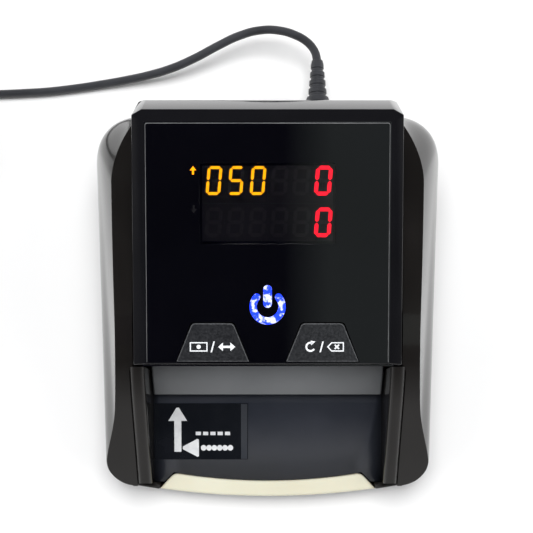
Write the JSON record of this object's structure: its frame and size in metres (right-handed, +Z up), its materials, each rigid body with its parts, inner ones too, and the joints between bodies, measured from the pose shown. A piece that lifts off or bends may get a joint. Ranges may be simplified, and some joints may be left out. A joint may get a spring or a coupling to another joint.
{
  "type": "banknote counting machine",
  "caption": "Small desktop banknote counter with a tilted lifting head, smoked display, two keys, open front tray and barrel-plug adapter lead.",
  "frame": {"origin": "on the table under the middle of the machine's own box, without the lead", "axes": "+X to the user's right, +Y to the back, +Z up; the tray faces -Y"},
  "size_m": [0.265, 0.1911, 0.0711],
  "materials": {
    "shell_black": "gloss black moulded shell, shiny, with fine dust scratches",
    "head_black": "piano black head shell, polished",
    "tray_satin": "satin blue-black tray with a very fine spark texture",
    "guide_grey": "satin grey guide",
    "panel_gloss": "back-printed black acrylic, mirror gloss",
    "smoked_lens": "smoked clear display filter, flush with the panel",
    "key_grey": "dark grey keys, satin with fine grain and white print",
    "label_print": "printed film label, black with white arrows",
    "light_bar": "translucent ivory diffuser",
    "power_glow": "diffusing light guide lit blue",
    "led_grey": "potted display modules with dark grey faces",
    "rubber": "moulded rubber",
    "steel": "drawn and ground steel",
    "plate_steel": "zinc-plated sheet",
    "bush_bronze": "sintered bronze",
    "white_moulding": "natural acetal",
    "board_green": "solder-masked glass epoxy",
    "component_black": "moulded components",
    "sensor_blue": "dark infrared-clear sensor strip",
    "cord_black": "satin vinyl lead, grey-black",
    "adapter_black": "fine textured adapter case"
  },
  "bodies": {
    "base": {"bottom_shell": "shell_black", "rubber_feet": "rubber", "case_screws": "steel", "tray_deck": "tray_satin", "tray_label": "label_print", "left_side_cover": "shell_black", "right_side_cover": "shell_black", "front_light_bar": "light_bar", "light_bar_board": "board_green", "left_bearing_plate": "plate_steel", "right_bearing_plate": "plate_steel", "shaft_bushes": "bush_bronze", "hinge_pins": "steel", "motor": "plate_steel", "motor_strap": "plate_steel", "motor_belt": "rubber", "transfer_belt": "rubber", "magnetic_head": "steel", "lower_sensor_bar": "sensor_blue", "encoder_sensor": "component_black", "main_board": "board_green", "board_parts": "component_black", "dc_jack": "component_black", "wiring_harness": "cord_black", "plug_grip": "cord_black", "plug_barrel": "steel", "cord_run": "cord_black", "cord_coil": "cord_black", "cord_tie": "cord_black", "adapter_case": "adapter_black", "adapter_blades": "steel"},
    "head": {"head_shell": "head_black", "front_panel": "panel_gloss", "display_window": "smoked_lens", "power_light_guide": "power_glow", "display_board": "board_green", "currency_digits": "led_grey", "count_digits": "led_grey", "total_digits": "led_grey", "key_switches": "component_black", "upper_note_guide": "guide_grey", "upper_sensor_bar": "sensor_blue", "idler_holders": "white_moulding", "idler_springs": "steel"},
    "left_key": {"left_key": "key_grey"},
    "right_key": {"right_key": "key_grey"},
    "motor_rotor": {"motor_shaft": "steel", "motor_pulley": "white_moulding"},
    "rear_drive": {"rear_drive_shaft": "steel", "rear_drive_rollers": "rubber", "rear_pulley": "white_moulding"},
    "front_drive": {"front_drive_shaft": "steel", "front_drive_rollers": "rubber", "front_pulley": "white_moulding", "encoder_disc": "component_black"},
    "front_idler": {"front_idler_axle": "steel", "front_idler_rollers": "white_moulding"},
    "rear_idler": {"rear_idler_axle": "steel", "rear_idler_rollers": "white_moulding"}
  },
  "joints": [
    {"name": "head_hinge", "type": "hinge", "parent": "base", "child": "head", "pos_m": [0, 0.064, 0.036], "axis": [-1, 0, 0], "range_deg": [0, 60]},
    {"name": "left_key_press", "type": "slide", "parent": "head", "child": "left_key", "axis": [0, 0.2385, -0.9711], "range_m": [0, 0.0008], "stiffness_N_per_m": 900, "springref_m": -0.0004},
    {"name": "right_key_press", "type": "slide", "parent": "head", "child": "right_key", "axis": [0, 0.2385, -0.9711], "range_m": [0, 0.0008], "stiffness_N_per_m": 900, "springref_m": -0.0004},
    {"name": "motor_spin", "type": "hinge", "parent": "base", "child": "motor_rotor", "pos_m": [0, 0.036, 0.0135], "axis": [1, 0, 0], "continuous": true},
    {"name": "rear_drive_spin", "type": "hinge", "parent": "base", "child": "rear_drive", "pos_m": [0, 0.056, 0.0228], "axis": [1, 0, 0], "continuous": true},
    {"name": "front_drive_spin", "type": "hinge", "parent": "base", "child": "front_drive", "pos_m": [0, -0.01, 0.0128], "axis": [1, 0, 0], "continuous": true},
    {"name": "front_idler_spin", "type": "hinge", "parent": "head", "child": "front_idler", "pos_m": [0, -0.01, 0.0245], "axis": [1, 0, 0], "continuous": true},
    {"name": "rear_idler_spin", "type": "hinge", "parent": "head", "child": "rear_idler", "pos_m": [0, 0.056, 0.0345], "axis": [1, 0, 0], "continuous": true}
  ],
  "couplings": [
    {"joint": "rear_drive_spin", "follows": "motor_spin", "ratio": 0.4},
    {"joint": "front_drive_spin", "follows": "motor_spin", "ratio": 0.4},
    {"joint": "front_idler_spin", "follows": "motor_spin", "ratio": -0.47692},
    {"joint": "rear_idler_spin", "follows": "motor_spin", "ratio": -0.47692}
  ]
}
